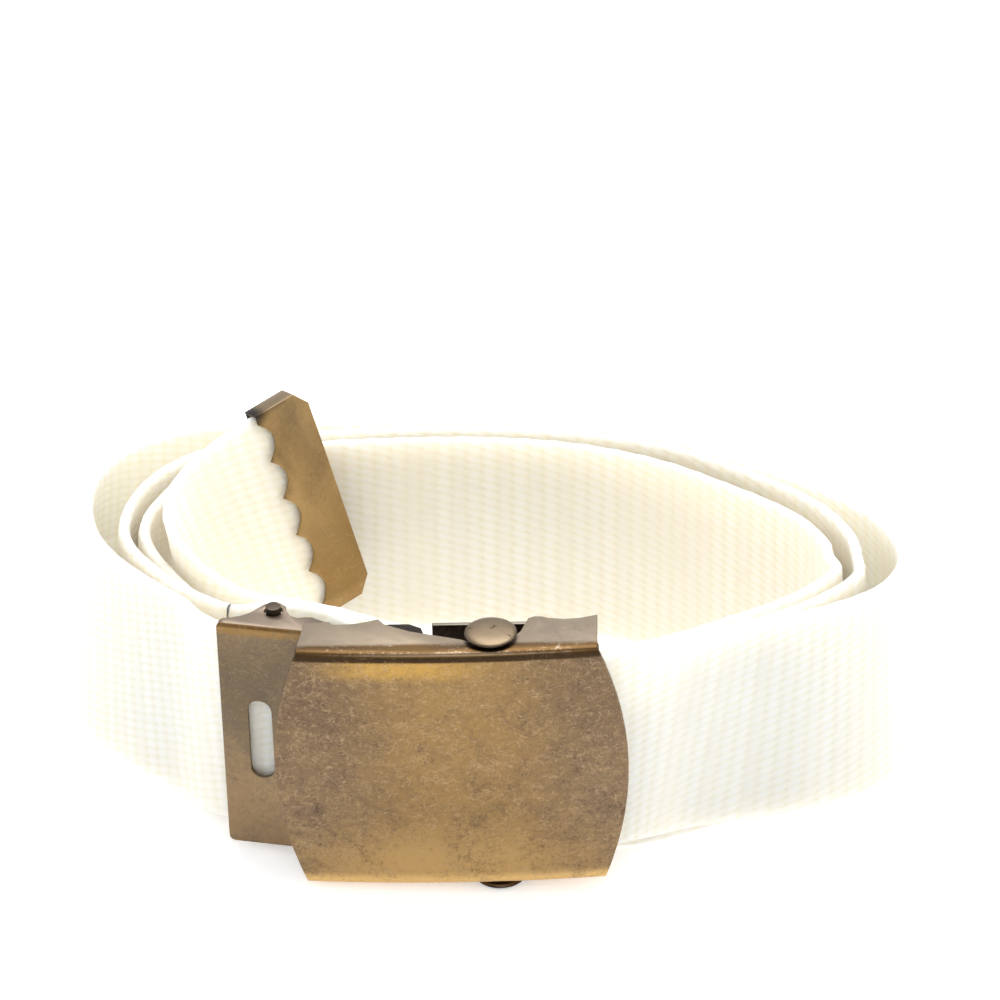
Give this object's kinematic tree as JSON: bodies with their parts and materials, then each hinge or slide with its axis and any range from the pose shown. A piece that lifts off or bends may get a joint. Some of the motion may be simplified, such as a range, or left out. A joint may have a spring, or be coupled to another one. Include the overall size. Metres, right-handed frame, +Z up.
{
  "type": "belt",
  "caption": "Heavy cotton web belt coiled on edge in an oval roll, fastened by a sheet-metal friction buckle with a sliding lock bar, and a scalloped metal tip on its free end.",
  "frame": {"origin": "on the floor, under the middle of the outline of the coiled belt", "axes": "+X to the right along the buckle's face, +Y from the buckle's face to the back of the coil, +Z up across the strap's width"},
  "size_m": [0.1432, 0.0852, 0.0514],
  "materials": {
    "cotton_webbing": "woven, matte",
    "antique_brass": "antiqued and brushed",
    "worn_brass": "antiqued",
    "tip_brass": "satin",
    "grey_steel": "plain",
    "dark_steel": "blackened"
  },
  "bodies": {
    "root": {"web_strap": "cotton_webbing", "face_plate": "antique_brass", "back_plate": "grey_steel", "lock_bar": "dark_steel", "end_bracket": "worn_brass", "clamp_pin": "dark_steel", "strap_tip": "tip_brass"}
  },
  "joints": []
}
